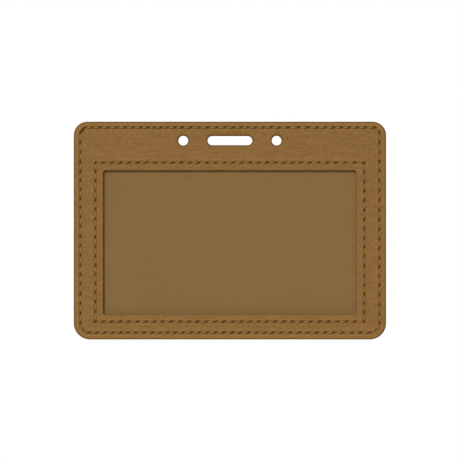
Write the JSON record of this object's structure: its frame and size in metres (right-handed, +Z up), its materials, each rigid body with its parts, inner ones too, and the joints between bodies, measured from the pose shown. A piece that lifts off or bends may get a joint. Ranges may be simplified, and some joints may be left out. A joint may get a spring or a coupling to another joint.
{
  "type": "badge holder",
  "caption": "Landscape leatherette badge holder with a clear window, stitched borders, a strap slot with round holes beside it, and a card entry across the back.",
  "frame": {"origin": "centre of the strap slot, midway through the thickness", "axes": "+Z up as it hangs, +X to the right seen from the front, the window's side faces -Y"},
  "size_m": [0.108, 0.0046, 0.0753],
  "materials": {
    "leatherette": "tan polyurethane leatherette with a fine grain, satin",
    "board": "brown stiffening board, matt",
    "lining": "fine plain-woven lining, matt",
    "clear_film": "clear flexible film, lightly satin",
    "thread": "tan bonded sewing thread, two-ply twist"
  },
  "bodies": {
    "root": {"front_cover": "leatherette", "window_film": "clear_film", "front_board": "board", "pocket_frame": "board", "rear_lining": "lining", "rear_board": "board", "rear_cover": "leatherette", "outer_seam_front_thread": "thread", "outer_seam_rear_thread": "thread", "window_seam_front_thread": "thread", "window_seam_rear_thread": "thread"}
  },
  "joints": []
}
